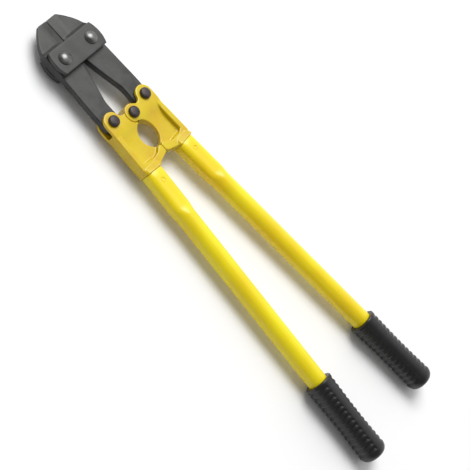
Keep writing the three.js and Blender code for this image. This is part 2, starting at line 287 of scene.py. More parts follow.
def another(piece, x, y):
    pick(piece)
    bpy.ops.object.duplicate(linked=False)
    return moved(bpy.context.object, x, y)


def finished(piece, node, body, finish, smooth=35):
    """Sets a piece down in metres in place of its node, with its finish."""
    piece.name = node + "_finished"
    piece.data.name = piece.name
    pick(piece)
    piece.scale = (0.001, 0.001, 0.001)
    piece.location = centre
    bpy.ops.object.transform_apply(location=True, rotation=True, scale=True)
    bpy.ops.object.shade_smooth_by_angle(angle=math.radians(smooth))
    piece.data.materials.append(finish)
    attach(piece, body)
    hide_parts(node)
    return piece


# ---- Finishes ----


def colour(code):
    """An sRGB hex value as a linear colour."""
    channels = [int(code[i : i + 2], 16) / 255 for i in (1, 3, 5)]
    linear = [c / 12.92 if c <= 0.04045 else ((c + 0.055) / 1.055) ** 2.4 for c in channels]
    return (*linear, 1)


def across(millimetres):
    """Pattern scale that repeats about once in so many millimetres."""
    return 1000 / millimetres


def node(tree, kind, inputs=(), **settings):
    """Adds a node with its settings, and fills or links its inputs."""
    made = tree.nodes.new(kind)
    for name, value in settings.items():
        setattr(made, name, value)
    for name, value in dict(inputs).items():
        if isinstance(value, bpy.types.NodeSocket):
            tree.links.new(value, made.inputs[name])
        else:
            made.inputs[name].default_value = value
    return made


# Places of a colour mix's inputs and output.
LOW_COLOUR, HIGH_COLOUR, MIXED = 6, 7, 2


def new_finish(name):
    material = bpy.data.materials.new(name)
    material.use_nodes = True
    tree = material.node_tree
    tree.nodes.clear()
    return material, tree


def cast_enamel():
    """Gloss enamel sprayed on cast iron: thin and slightly worn on edges, with the casting's
    skin rolling gently under a fine orange peel."""
    material, tree = new_finish("gloss_enamel_on_casting")
    place = node(tree, "ShaderNodeTexCoord").outputs["Object"]
    drift = node(tree, "ShaderNodeTexNoise", {"Vector": place, "Scale": across(28), "Detail": 3.0})
    skin = node(tree, "ShaderNodeTexNoise", {"Vector": place, "Scale": across(5), "Detail": 4.0})
    peel = node(tree, "ShaderNodeTexNoise", {"Vector": place, "Scale": across(1.4), "Detail": 2.0})
    warm = node(
        tree,
        "ShaderNodeMapRange",
        {"Value": drift.outputs["Fac"], "From Min": 0.35, "From Max": 0.7},
    )
    body = node(
        tree,
        "ShaderNodeMix",
        {"Factor": warm.outputs["Result"], LOW_COLOUR: colour("#d2ba08"), HIGH_COLOUR: colour("#cca703")},
        data_type="RGBA",
    )
    edge = node(tree, "ShaderNodeNewGeometry")
    proud = node(
        tree,
        "ShaderNodeMapRange",
        {"Value": edge.outputs["Pointiness"], "From Min": 0.53, "From Max": 0.62},
    )
    worn = node(
        tree,
        "ShaderNodeMath",
        {0: proud.outputs["Result"], 1: skin.outputs["Fac"]},
        operation="MULTIPLY",
    )
    coat = node(
        tree,
        "ShaderNodeMix",
        {"Factor": worn.outputs["Value"], LOW_COLOUR: body.outputs[MIXED], HIGH_COLOUR: colour("#e6cf30")},
        data_type="RGBA",
    )
    gloss = node(
        tree,
        "ShaderNodeMapRange",
        {"Value": skin.outputs["Fac"], "To Min": 0.16, "To Max": 0.32},
    )
    rolling = node(
        tree,
        "ShaderNodeBump",
        {"Height": skin.outputs["Fac"], "Strength": 0.35, "Distance": 0.0005},
    )
    fine = node(
        tree,
        "ShaderNodeBump",
        {
            "Height": peel.outputs["Fac"],
            "Strength": 0.18,
            "Distance": 0.0002,
            "Normal": rolling.outputs["Normal"],
        },
    )
    shader = node(
        tree,
        "ShaderNodeBsdfPrincipled",
        {
            "Base Color": coat.outputs[MIXED],
            "Roughness": gloss.outputs["Result"],
            "IOR": 1.5,
            "Normal": fine.outputs["Normal"],
        },
    )
    node(tree, "ShaderNodeOutputMaterial", {"Surface": shader.outputs["BSDF"]})
    return material


def tube_enamel(name, lean):
    """Gloss enamel on drawn tube: long faint draw lines along the tube and a fine orange peel."""
    material, tree = new_finish(name)
    place = node(tree, "ShaderNodeTexCoord").outputs["Object"]
    along = node(tree, "ShaderNodeMapping", {"Vector": place, "Rotation": (0, 0, -lean)})
    stretched = node(
        tree,
        "ShaderNodeMapping",
        {"Vector": along.outputs["Vector"], "Scale": (1.0, 0.035, 1.0)},
    )
    lines = node(
        tree,
        "ShaderNodeTexNoise",
        {"Vector": stretched.outputs["Vector"], "Scale": across(3), "Detail": 3.0},
    )
    drift = node(tree, "ShaderNodeTexNoise", {"Vector": place, "Scale": across(60), "Detail": 2.0})
    peel = node(tree, "ShaderNodeTexNoise", {"Vector": place, "Scale": across(1.6), "Detail": 2.0})
    warm = node(
        tree,
        "ShaderNodeMapRange",
        {"Value": drift.outputs["Fac"], "From Min": 0.35, "From Max": 0.7},
    )
    body = node(
        tree,
        "ShaderNodeMix",
        {"Factor": warm.outputs["Result"], LOW_COLOUR: colour("#f0de0a"), HIGH_COLOUR: colour("#eccd08")},
        data_type="RGBA",
    )
    streak = node(
        tree,
        "ShaderNodeMapRange",
        {"Value": lines.outputs["Fac"], "From Min": 0.5, "From Max": 0.8, "To Max": 0.35},
    )
    coat = node(
        tree,
        "ShaderNodeMix",
        {"Factor": streak.outputs["Result"], LOW_COLOUR: body.outputs[MIXED], HIGH_COLOUR: colour("#d8b80c")},
        data_type="RGBA",
    )
    gloss = node(
        tree,
        "ShaderNodeMapRange",
        {"Value": lines.outputs["Fac"], "To Min": 0.2, "To Max": 0.38},
    )
    drawn = node(
        tree,
        "ShaderNodeBump",
        {"Height": lines.outputs["Fac"], "Strength": 0.12, "Distance": 0.0003},
    )
    fine = node(
        tree,
        "ShaderNodeBump",
        {
            "Height": peel.outputs["Fac"],
            "Strength": 0.12,
            "Distance": 0.0002,
            "Normal": drawn.outputs["Normal"],
        },
    )
    shader = node(
        tree,
        "ShaderNodeBsdfPrincipled",
        {
            "Base Color": coat.outputs[MIXED],
            "Roughness": gloss.outputs["Result"],
            "IOR": 1.5,
            "Normal": fine.outputs["Normal"],
        },
    )
    node(tree, "ShaderNodeOutputMaterial", {"Surface": shader.outputs["BSDF"]})
    return material


def steel(name, dark, light, bright, roughness, pit, grain, metal=0.75, relief=0.0004):
    """Steel under a dark or bright skin: mottled, pitted at a real grain size, and rubbed
    brighter where edges stand proud."""
    material, tree = new_finish(name)
    place = node(tree, "ShaderNodeTexCoord").outputs["Object"]
    mottle = node(tree, "ShaderNodeTexNoise", {"Vector": place, "Scale": across(grain), "Detail": 5.0})
    pits = node(tree, "ShaderNodeTexNoise", {"Vector": place, "Scale": across(pit), "Detail": 3.0})
    shade = node(
        tree,
        "ShaderNodeMapRange",
        {"Value": mottle.outputs["Fac"], "From Min": 0.35, "From Max": 0.68},
    )
    skin = node(
        tree,
        "ShaderNodeMix",
        {"Factor": shade.outputs["Result"], LOW_COLOUR: colour(dark), HIGH_COLOUR: colour(light)},
        data_type="RGBA",
    )
    edge = node(tree, "ShaderNodeNewGeometry")
    rubbed = node(
        tree,
        "ShaderNodeMapRange",
        {"Value": edge.outputs["Pointiness"], "From Min": 0.52, "From Max": 0.62, "To Max": 0.6},
    )
    surface = node(
        tree,
        "ShaderNodeMix",
        {"Factor": rubbed.outputs["Result"], LOW_COLOUR: skin.outputs[MIXED], HIGH_COLOUR: colour(bright)},
        data_type="RGBA",
    )
    sheen = node(
        tree,
        "ShaderNodeMapRange",
        {
            "Value": mottle.outputs["Fac"],
            "From Min": 0.3,
            "From Max": 0.7,
            "To Min": roughness - 0.08,
            "To Max": roughness + 0.1,
        },
    )
    bump = node(
        tree,
        "ShaderNodeBump",
        {"Height": pits.outputs["Fac"], "Strength": 0.35, "Distance": relief},
    )
    shader = node(
        tree,
        "ShaderNodeBsdfPrincipled",
        {
            "Base Color": surface.outputs[MIXED],
            "Metallic": metal,
            "Roughness": sheen.outputs["Result"],
            "Normal": bump.outputs["Normal"],
        },
    )
    node(tree, "ShaderNodeOutputMaterial", {"Surface": shader.outputs["BSDF"]})
    return material


def moulded_rubber():
    """Black moulded rubber: a matt fine grain, smoother where hands have polished the ribs, with a painted
    highlight making the rib crests paler and painted shade making the grooves near black.
    """
    material, tree = new_finish("moulded_black_rubber")
    place = node(tree, "ShaderNodeTexCoord").outputs["Object"]
    bloom = node(tree, "ShaderNodeTexNoise", {"Vector": place, "Scale": across(9), "Detail": 4.0})
    grain = node(tree, "ShaderNodeTexNoise", {"Vector": place, "Scale": across(0.8), "Detail": 3.0})
    dusty = node(
        tree,
        "ShaderNodeMapRange",
        {"Value": bloom.outputs["Fac"], "From Min": 0.4, "From Max": 0.75},
    )
    body = node(
        tree,
        "ShaderNodeMix",
        {"Factor": dusty.outputs["Result"], LOW_COLOUR: colour("#0c0c0c"), HIGH_COLOUR: colour("#171717")},
        data_type="RGBA",
    )
    edge = node(tree, "ShaderNodeNewGeometry")
    # Rib crests: smoother from hand polish, and painted paler as a painted highlight.
    polish_and_highlight = node(
        tree,
        "ShaderNodeMapRange",
        {"Value": edge.outputs["Pointiness"], "From Min": 0.51, "From Max": 0.6, "To Max": 0.7},
    )
    surface = node(
        tree,
        "ShaderNodeMix",
        {
            "Factor": polish_and_highlight.outputs["Result"],
            LOW_COLOUR: body.outputs[MIXED],
            HIGH_COLOUR: colour("#2a2a2b"),
        },
        data_type="RGBA",
    )
    # Painted shade: the grooves (low pointiness) are painted near black, darker than the rubber itself.
    painted_groove_shade = node(
        tree,
        "ShaderNodeMapRange",
        {"Value": edge.outputs["Pointiness"], "From Min": 0.44, "From Max": 0.495},
    )
    shaded = node(
        tree,
        "ShaderNodeMix",
        {
            "Factor": painted_groove_shade.outputs["Result"],
            LOW_COLOUR: colour("#040404"),
            HIGH_COLOUR: surface.outputs[MIXED],
        },
        data_type="RGBA",
    )
    polish = node(
        tree,
        "ShaderNodeMapRange",
        {"Value": polish_and_highlight.outputs["Result"], "To Min": 0.34, "To Max": 0.22},
    )
    bump = node(
        tree,
        "ShaderNodeBump",
        {"Height": grain.outputs["Fac"], "Strength": 0.3, "Distance": 0.0002},
    )
    shader = node(
        tree,
        "ShaderNodeBsdfPrincipled",
        {
            "Base Color": shaded.outputs[MIXED],
            "Roughness": polish.outputs["Result"],
            "IOR": 1.52,
            "Normal": bump.outputs["Normal"],
        },
    )
    node(tree, "ShaderNodeOutputMaterial", {"Surface": shader.outputs["BSDF"]})
    return material


ENAMEL = cast_enamel()
TUBE_RIGHT = tube_enamel("gloss_enamel_on_drawn_tube_right", HANDLE_SPREAD)
TUBE_LEFT = tube_enamel("gloss_enamel_on_drawn_tube_left", -HANDLE_SPREAD)
# Drop-forged steel blackened in oil: a satin dark grey with forging scale.
FORGED = steel("blackened_forged_steel", "#323231", "#454544", "#666665", 0.45, 1.3, 14, 0.6)
# Sheared plate, blackened: flatter than the forgings, with a finer grain.
PLATE = steel("blackened_plate_steel", "#333332", "#424241", "#646463", 0.42, 0.8, 18, 0.6, 0.0002)
# Zinc plate over steel: bright and a little milky.
ZINC = steel("bright_zinc_plated_steel", "#5e5f5e", "#7c7d7b", "#9a9b99", 0.33, 0.9, 6, 1.0, 0.0001)
# Manganese phosphate on bolts: a dark brown grey, faintly purple under oil.
PHOSPHATE = steel("phosphated_bolt_steel", "#322c2d", "#453e3f", "#6c6465", 0.44, 0.7, 5, 0.6, 0.0002)
RUBBER = moulded_rubber()

# ---- Jaws ----

JAW_HALF = 6
NOSE_HALF = 3.3  # past the shoulder at the side plates
NOSE_SHOULDER = 4
TIP_HALF = 2.6
TIP_WIDTH = 14.5
BEVEL_WIDTH = 14.3
EDGE_LAND = 1.2
ARM_HALF = 4.5
CUT_GAP = 0.15  # the cutting faces meet with a hair between them
JAW_WIDE = 38
TRIM_WIDE = 43  # past the widest part of the nose
BUSH_HOLE = 8  # radii of the holes in the jaw
LINK_HOLE = 4.3
HOLE_PLAY = 4  # the right jaw's hole is longer than its bush, and leans down at its inner end
HOLE_LEAN = 0.25


def nose_trim(side, nose_low):
    """What is taken off one side of the nose: its taper, and its bevel to the cutting edge."""
    profile = [
        (CUT_GAP - 1, 3 * JAW_HALF),
        (CUT_GAP - 1, EDGE_LAND),
        (CUT_GAP, EDGE_LAND),
        (BEVEL_WIDTH * 0.3, JAW_HALF * 0.48),
        (BEVEL_WIDTH * 0.65, JAW_HALF * 0.84),
        (BEVEL_WIDTH, JAW_HALF),
        (TRIM_WIDE, JAW_HALF),
        (TRIM_WIDE, 3 * JAW_HALF),
    ]
    length = jaw_tip - nose_low
    trim = traced([(x, nose_low, side * z) for x, z in profile])
    edit(trim)
    for step, share in (
        (NOSE_SHOULDER, NOSE_HALF / JAW_HALF),
        (length - NOSE_SHOULDER + 1, TIP_HALF / NOSE_HALF),
    ):
        bpy.ops.mesh.extrude_region_move(TRANSFORM_OT_translate={"value": (0, step, 0)})
        bpy.ops.transform.resize(value=(1, 1, share), center_override=(0, 0, 0))
    done()
    tidy_normals(trim)
    return trim


def jaw(long_hole):
    """Right jaw: a thick hub, a nose that thins past the side plates and is bevelled to its
    cutting edge, and a thinner arm down to its link bolt."""
    hub_low = jaw_bolt.y - 13
    nose_low = jaw_bolt.y + 15
    nose = slab(
        [
            (CUT_GAP, jaw_bolt.y + 6),
            (3, hub_low),
            (JAW_WIDE, hub_low),
            (JAW_WIDE, nose_low),
            *bow((JAW_WIDE, nose_low), (31.5, jaw_tip - 13), (TIP_WIDTH, jaw_tip)),
            (CUT_GAP, jaw_tip),
        ],
        -JAW_HALF,
        JAW_HALF,
    )
    round_edges(nose, 0.9)
    heel = link_bolt.x - 14.2
    arm = slab(
        [
            (37.7, hub_low + 3),
            (3.5, hub_low + 3),
            (3.5, hub_low - 2),
            *bow((3.5, hub_low - 2), (6.5, jaw_bolt.y - 32), (heel - 1, link_bolt.y + 26)),
            *bow((heel - 1, link_bolt.y + 26), (heel + 1, link_bolt.y + 20), (heel, link_bolt.y + 6)),
            (heel + 1, link_bolt.y),
            *arc(link_bolt.x, link_bolt.y, 10.5, 207, 360),
            (link_bolt.x + 10.5, link_bolt.y + 20),
        ],
        -ARM_HALF,
        ARM_HALF,
    )
    round_edges(arm, 1.3)
    unite(nose, arm)
    for side in (1, -1):
        cut(nose, nose_trim(side, nose_low))
    cut(
        nose,
        rod(jaw_bolt.x, jaw_bolt.y, BUSH_HOLE, -THROUGH, THROUGH),
        rod(link_bolt.x, link_bolt.y, LINK_HOLE, -THROUGH, THROUGH),
    )
    if long_hole:
        inner = jaw_bolt.x - HOLE_PLAY
        cut(
            nose,
            rod(inner, jaw_bolt.y - HOLE_LEAN, BUSH_HOLE, -THROUGH, THROUGH),
            slab(
                [
                    (inner, jaw_bolt.y - (BUSH_HOLE + HOLE_LEAN)),
                    (jaw_bolt.x, jaw_bolt.y - BUSH_HOLE),
                    (jaw_bolt.x, jaw_bolt.y + BUSH_HOLE),
                    (inner, jaw_bolt.y + (BUSH_HOLE - HOLE_LEAN)),
                ],
                -THROUGH,
                THROUGH,
            ),
        )
    return soften(nose, 0.42, 3)


right_jaw = jaw(True)
left_jaw = other_hand(jaw(False))
for piece, side in ((right_jaw, "right"), (left_jaw, "left")):
    finished(piece, "jaw_" + side, "jaw_" + side, FORGED)

# ---- Side plates ----


PLATE_LOW = 6.3
PLATE_HIGH = 12.3
PLATE_HALF_LENGTH = 15
END_RADIUS = 34
END_SHIFT = 4.5  # of each rounded end's centre from the middle
PLATE_HOLE = 5.2


def side_plate():
    """Front plate: straight along its top and bottom, with a shallow round end past each jaw bolt."""
    turn = math.degrees(math.asin(PLATE_HALF_LENGTH / END_RADIUS))
    outline = [
        *arc(END_SHIFT, jaw_bolt.y, END_RADIUS, -turn, turn),
        *arc(-END_SHIFT, jaw_bolt.y, END_RADIUS, 180 - turn, 180 + turn),
    ]
    piece = slab(outline, PLATE_LOW, PLATE_HIGH)
    cut(
        piece,
        rod(jaw_bolt.x, jaw_bolt.y, PLATE_HOLE, 0, THROUGH),
        rod(-jaw_bolt.x, jaw_bolt.y, PLATE_HOLE, 0, THROUGH),
    )
    return soften(piece, 0.5, 3)


front_plate = side_plate()
pick(front_plate)
bpy.ops.object.duplicate(linked=False)
back_plate = bpy.context.object
back_plate.rotation_euler.y = math.pi
bpy.ops.object.transform_apply(location=True, rotation=True, scale=True)
finished(front_plate, "side_plate_front", "side_plates", PLATE)
finished(back_plate, "side_plate_back", "side_plates", PLATE)

# ---- Fasteners ----


def jaw_bolt_piece():
    """A low domed head with a short rim on a plain shank with a chamfered end."""
    return turned(
        [
            (0, -16.5),
            (3.9, -16.5),
            (5, -15.6),
            (5, 12.3),
            (7.7, 12.3),
            (8, 12.6),
            (8, 13.1),
            (7.7, 13.5),
            (7, 14.1),
            (6, 14.72),
            (5, 15.23),
            (4, 15.63),
            (3, 15.93),
            (2, 16.14),
            (1, 16.26),
            (0, 16.3),
        ]
    )


def pivot_bolt_piece():
    """A round cheese head with a rolled edge and a shallow turned face."""
    return turned(
        [
            (0, -15.4),
            (3.2, -15.4),
            (4, -14.7),
            (4, 9.2),
            (6.4, 9.2),
            (6.7, 9.5),
            (6.7, 11.6),
            (6.45, 12.25),
            (5.9, 12.75),
            (4.8, 13.2),
            (3.2, 13.45),
            (1.6, 13.57),
            (0, 13.6),
        ]
    )


def nut_piece(flats, low, high, bore):
    """A hexagon with its corners turned off, and a countersunk bore."""
    corner = flats / 2 / math.cos(math.pi / 6)
    piece = rod(0, 0, corner, low, high, 6)
    moved(piece, turn=math.pi / 6)
    rim = flats / 2 + 0.1
    rise = (corner - rim) * 0.6
    crown = turned(
        [
            (0, low - 0.01),
            (rim, low - 0.01),
            (corner + 0.3, low + rise),
            (corner + 0.3, high - rise),
            (rim, high + 0.01),
            (0, high + 0.01),
        ]
    )
    keep_inside(piece, crown)
    hole = turned(
        [
            (0, low - 1),
            (bore + 1.6, low - 1),
            (bore, low + 0.6),
            (bore, high - 0.6),
            (bore + 1.6, high + 1),
            (0, high + 1),
        ]
    )
    cut(piece, hole)
    return round_edges(piece, 0.2, 2, 40)


def washer_piece(outer, bore, low, high):
    piece = rod(0, 0, outer, low, high)
    cut(piece, rod(0, 0, bore, low - 1, high + 1))
    return round_edges(piece, 0.25, 2)


jaw_bolt_model = jaw_bolt_piece()
jaw_nut_model = nut_piece(17, -17, -12.5, 5.2)
for side, name in ((-1, "left"), (1, "right")):
    bolt = another(jaw_bolt_model, side * jaw_bolt.x, jaw_bolt.y)
    finished(bolt, "jaw_bolt_" + name, "side_plates", ZINC)
    nut = another(jaw_nut_model, side * jaw_bolt.x, jaw_bolt.y)
    finished(nut, "jaw_nut_" + name, "side_plates", ZINC)
    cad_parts["jaw_bush_" + name].data.materials.clear()
    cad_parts["jaw_bush_" + name].data.materials.append(ZINC)

pivot_bolt_model = pivot_bolt_piece()
pivot_nut_model = nut_piece(13, -14.6, -10.6, 4.2)
washer_model = washer_piece(7.25, 4.2, -10.4, -9.2)
for name, x, y, body in (
    ("link_{}_left", -link_bolt.x, link_bolt.y, "handle_left"),
    ("centre_{}", 0, 0, "handle_right"),
    ("link_{}_right", link_bolt.x, link_bolt.y, "handle_right"),
):
    for kind, model in (
        ("bolt", pivot_bolt_model),
        ("nut", pivot_nut_model),
        ("washer", washer_model),
    ):
        piece = another(model, x, y)
        finished(piece, name.format(kind), body, PHOSPHATE)

for model in (jaw_bolt_model, jaw_nut_model, pivot_bolt_model, pivot_nut_model, washer_model):
    bpy.data.objects.remove(model)

# ---- Handle heads ----

HEAD_HALF = 9
WEB_HALF = 3
LOBE_RADIUS = 11.75  # round each link bolt
CENTRE_LOBE = 11
SLOT_RADIUS = 15.4  # clears the arm's end as it turns
TONGUE_RADIUS = 11.6
TONGUE_HOLE = 4.3
PIVOT_HOLE = 4.2
PIN_HOLE = 2.7
FORK_GAP = 0.3
COLLAR_END = 62.2
PRESSED_WIDTH = 26
PRESSED_HEIGHT = 20


def rounded_box_face(along, width, height, corner):
    """A face across the handle, shaped like the pressed tube."""
    nothing_selected()
    bpy.ops.mesh.primitive_plane_add(size=1, rotation=(math.pi / 2, 0, 0), location=(0, -along, 0))
    piece = bpy.context.object
    piece.scale = (width, height, 1)
    bpy.ops.object.transform_apply(location=True, rotation=True, scale=True)
    edit(piece)
    bpy.ops.mesh.bevel(offset=corner, segments=8, affect="VERTICES", clamp_overlap=True)
    done()
    return piece


def drawn_out(piece, steps):
    """Extrudes the end face along the handle, and resizes it, step by step."""
    edit(piece)
    for along, width, height in steps:
        bpy.ops.mesh.extrude_region_move(TRANSFORM_OT_translate={"value": (0, -along, 0)})
        bpy.ops.transform.resize(value=(width, 1, height), center_override=(0, 0, 0))
    done()
    tidy_normals(piece)
    return piece


def on_handle(piece):
    """Sets a piece made round the handle's own axis in its place on the right of the tool."""
    return moved(piece, handle_origin.x, 0, 0, HANDLE_SPREAD)


def shoulder_profile():
    """Side view that the raised shoulders keep inside: full height at the bolts, and a smooth
    fall to the web below them."""
    fall = [(-2, HEAD_HALF)]
    fall += bow((-2, HEAD_HALF), (-7.5, HEAD_HALF), (-13, 6.6), 8)
    fall += bow((-13, 6.6), (-20, WEB_HALF + 0.05), (-32, WEB_HALF + 0.02), 10)
    top = [(40, HEAD_HALF), *fall]
    bottom = [(y, -z) for y, z in reversed(top)]
    side = traced([(-15, y, z) for y, z in top + bottom])
    return extruded(side, (80, 0, 0))


def head(with_fork):
    """Right head. One head has a fork at the centre bolt, and the other its tongue."""
    outer = link_bolt.x + LOBE_RADIUS
    collar_half = PRESSED_WIDTH / 2 + 1.2
    collar_x = handle_origin.x + COLLAR_END * math.tan(HANDLE_SPREAD)
    collar_inner = collar_x - collar_half
    collar_outer = collar_x + collar_half

    web = slab(
        [
            (CUT_GAP, -4.5),
            (CUT_GAP, -53.5),
            *bow((CUT_GAP, -53.5), (CUT_GAP, -55.5), (3.15, -57), 5),
            (collar_inner + 1.5, -COLLAR_END + 1),
            (collar_outer - 1.5, -COLLAR_END + 3),
            (outer + 1, -24),
            (outer, 0),
            (link_bolt.x, link_bolt.y),
        ],
        -WEB_HALF,
        WEB_HALF,
    )

    # Raised shoulders round the bolts, with a saddle between their lobes.
    saddle = (12.8, 11.8)
    shoulders = slab(
        [
            (CUT_GAP, 0),
            (CUT_GAP, -31),
            (outer - 2, -31),
            (outer + 1, -20),
            (outer, link_bolt.y),
            (link_bolt.x, link_bolt.y),
            saddle,
        ],
        -HEAD_HALF,
        HEAD_HALF,
    )
    unite(
        shoulders,
        rod(link_bolt.x, link_bolt.y, LOBE_RADIUS, -HEAD_HALF, HEAD_HALF),
        rod(0, 0, CENTRE_LOBE, -HEAD_HALF, HEAD_HALF),
    )
    cut(shoulders, rod(*saddle, 6, -THROUGH, THROUGH))
    keep_inside(shoulders, shoulder_profile())

    outer_rim = slab(
        [
            (outer - 0.4, -4),
            (outer - 6, -6),
            *bow((outer - 6, -6), (outer - 7.0, -14), (outer - 6.4, -26)),
            (collar_outer - 9.2, -COLLAR_END + 14),
            (collar_outer - 9, -COLLAR_END + 4),
            (collar_outer - 1.2, -COLLAR_END + 6),
            (outer + 1.2, -24),
        ],
        -8.2,
        8.2,
    )
    round_edges(outer_rim, 3.6, 5, 50)
    lower_rim = slab(
        [
            (CUT_GAP, -43),
            (CUT_GAP, -53.5),
            *bow((CUT_GAP, -53.5), (CUT_GAP, -55.5), (3.15, -57), 5),
            (collar_inner + 1.5, -COLLAR_END + 1),
            (collar_outer - 4, -COLLAR_END + 3),
            (collar_outer - 9.5, -COLLAR_END + 14),
            *bow(
                (collar_outer - 9.5, -COLLAR_END + 14),
                (collar_x - 4, -COLLAR_END + 7),
                (collar_inner - 6, -COLLAR_END + 12),
                8,
            ),
        ],
        -8,
        8,
    )
    collar = drawn_out(
        rounded_box_face(COLLAR_END - 12, 2 * collar_half - 5, 11, 4),
        [
            (3, 1.05, 1.3),
            (3, 1.06, 1.24),
            (3, 1.05, 1.15),
            (2.4, 1.03, 1.1),
            (0.6, 0.965, 0.955),
        ],
    )
    tang = drawn_out(
        rounded_box_face(COLLAR_END - 6, PRESSED_WIDTH - 4.6, PRESSED_HEIGHT - 4.6, 6.4),
        [(54, 1, 1)],
    )
    unite(tang, collar)
    cut(tang, moved(rod(0, 0, PIN_HOLE, -THROUGH, THROUGH), 0, -PIN_PLACE))
    on_handle(tang)
    whole = unite(web, shoulders, outer_rim, lower_rim, tang)

    # The eye between the heads, bounded by two equal arcs.
    eye_half, eye_high, eye_low = 13, -10.5, -47
    half_length = (eye_high - eye_low) / 2
    eye_radius = (half_length**2 + eye_half**2) / (2 * eye_half)
    eye_middle = (eye_high + eye_low) / 2
    cut(whole, rod(eye_half - eye_radius, eye_middle, eye_radius, -THROUGH, THROUGH, 96))

    # The arm's slot, open above and on the outer side.
    slot_half = ARM_HALF + FORK_GAP
    cut(
        whole,
        rod(link_bolt.x, link_bolt.y, SLOT_RADIUS, -slot_half, slot_half),
        slab(
            [
                (link_bolt.x, link_bolt.y + 40),
                (link_bolt.x, link_bolt.y - 11.5),
                (outer + 9, link_bolt.y - 11.5),
                (outer + 9, link_bolt.y + 40),
            ],
            -slot_half,
            slot_half,
        ),
        rod(link_bolt.x, link_bolt.y, PIVOT_HOLE, -THROUGH, THROUGH),
    )
    if with_fork:
        cut(
            whole,
            rod(0, 0, TONGUE_RADIUS, -slot_half, slot_half),
            rod(0, 0, PIVOT_HOLE, -THROUGH, THROUGH),
        )
    else:
        cut(
            whole,
            rod(0, 0, TONGUE_RADIUS, slot_half - FORK_GAP, THROUGH),
            rod(0, 0, TONGUE_RADIUS, -THROUGH, FORK_GAP - slot_half),
            rod(0, 0, TONGUE_HOLE, -THROUGH, THROUGH),
        )
    return soften(whole, 0.55, 9)


right_head = head(True)
left_head = other_hand(head(False))
finished(right_head, "handle_head_right", "handle_right", ENAMEL, 60)
finished(left_head, "handle_head_left", "handle_left", ENAMEL, 60)

# ---- Tubes, pins and grips ----

TUBE_RADIUS = 12
TUBE_WALL = 2
PRESSED_START = COLLAR_END + 0.3
PRESSED_END = 110.5
ROUND_START = 124.5
TUBE_END = 468.7
GRIP_START = 364
GRIP_END = 474


def pressed_to_shape(shell, inset):
    """Moves a round shell's points to the boxy section that it is pressed to over the tang."""
    for vertex in shell.data.vertices:
        along = -vertex.co.y
        share = min(1, max(0, (ROUND_START - along) / (ROUND_START - PRESSED_END)))
        share = share * share * (3 - 2 * share)
        angle = math.atan2(vertex.co.z, vertex.co.x)
        power = 2 / (2 + 0.8 * share)
        half_width = TUBE_RADIUS + (PRESSED_WIDTH / 2 - TUBE_RADIUS) * share - inset
        half_height = TUBE_RADIUS + (PRESSED_HEIGHT / 2 - TUBE_RADIUS) * share - inset
        across_x, across_z = math.cos(angle), math.sin(angle)
        vertex.co.x = half_width * math.copysign(abs(across_x) ** power, across_x)
        vertex.co.z = half_height * math.copysign(abs(across_z) ** power, across_z)


def tube_shell(inset):
    """One skin of the tube, inset from the outside, with its stations close where the shape turns."""
    nothing_selected()
    bpy.ops.mesh.primitive_circle_add(
        vertices=72,
        radius=TUBE_RADIUS,
        rotation=(math.pi / 2, 0, 0),
        location=(0, -PRESSED_START, 0),
    )
    shell = bpy.context.object
    bpy.ops.object.transform_apply(location=True, rotation=True, scale=True)
    edit(shell)
    near_pin = [PIN_PLACE - 6 + 1.5 * i for i in range(9)]
    blend = [PRESSED_END + (ROUND_START - PRESSED_END) * i / 12 for i in range(13)]
    place = PRESSED_START
    for station in (*near_pin, 98, *blend, 200, 280, TUBE_END):
        bpy.ops.mesh.extrude_edges_move(TRANSFORM_OT_translate={"value": (0, place - station, 0)})
        place = station
    done()
    pressed_to_shape(shell, inset)
    return shell


def tube():
    """Handle tube: an outer and an inner skin joined at both ends, with the pin's hole through."""
    outer, inner = tube_shell(0), tube_shell(TUBE_WALL)
    nothing_selected()
    inner.select_set(True)
    outer.select_set(True)
    bpy.context.view_layer.objects.active = outer
    bpy.ops.object.join()
    wall = bpy.context.object
    for end in (PRESSED_START, TUBE_END):
        edit(wall)
        bpy.ops.mesh.select_all(action="DESELECT")
        done()
        for vertex in wall.data.vertices:
            vertex.select = abs(vertex.co.y + end) < 0.01
        for edge in wall.data.edges:
            edge.select = all(wall.data.vertices[i].select for i in edge.vertices)
        bpy.ops.object.mode_set(mode="EDIT")
        bpy.ops.mesh.bridge_edge_loops()
        done()
    tidy_normals(wall)
    cut(wall, moved(rod(0, 0, PIN_HOLE, -THROUGH, THROUGH), 0, -PIN_PLACE))
    return round_edges(wall, 0.35, 2, 50)


def tang_pin_piece():
    """A flush peened pin: slightly crowned, with a shallow dimple in each end."""
    half = PRESSED_HEIGHT / 2
    return moved(
        turned(
            [
                (0, -half + 0.35),
                (1.2, -half + 0.15),
                (2.1, -half),
                (2.5, 0.4 - half),
                (2.5, half - 0.4),
                (2.1, half),
                (1.2, half - 0.15),
                (0, half - 0.35),
            ],
            32,
        ),
        0,
        -PIN_PLACE,
    )


def grip_profile(grooves):
    """Outline of the grip in half section, from its domed end round to its bore."""
    bore = 12.3
    outline = [(0, GRIP_END), (8.5, GRIP_END)]
    outline += bow((8.5, GRIP_END), (15.4, GRIP_END - 0.6), (16.9, GRIP_END - 9), 8)
    outline += grooves
    outline += [
        (17, GRIP_START + 1.2),
        (16.6, GRIP_START + 0.4),
        (15.8, GRIP_START),
        (bore, GRIP_START),
        (bore, GRIP_END - 5),
        (0, GRIP_END - 5),
    ]
    return outline


def crest(along):
    """Radius over the ribs: full at both ends, with a slight waist between them."""
    t = (along - GRIP_START) / (GRIP_END - GRIP_START)
    return 17 - 1.0 * math.sin(math.pi * min(1, max(0, t))) ** 1.5


RIB_PITCH = 6.9
RIBS = 14
RIB_DEPTH = 1.5
FIRST_GROOVE = GRIP_START + 7
STRIP_WIDTH = 50  # degrees round the grip
STRIP_PLACE = -75


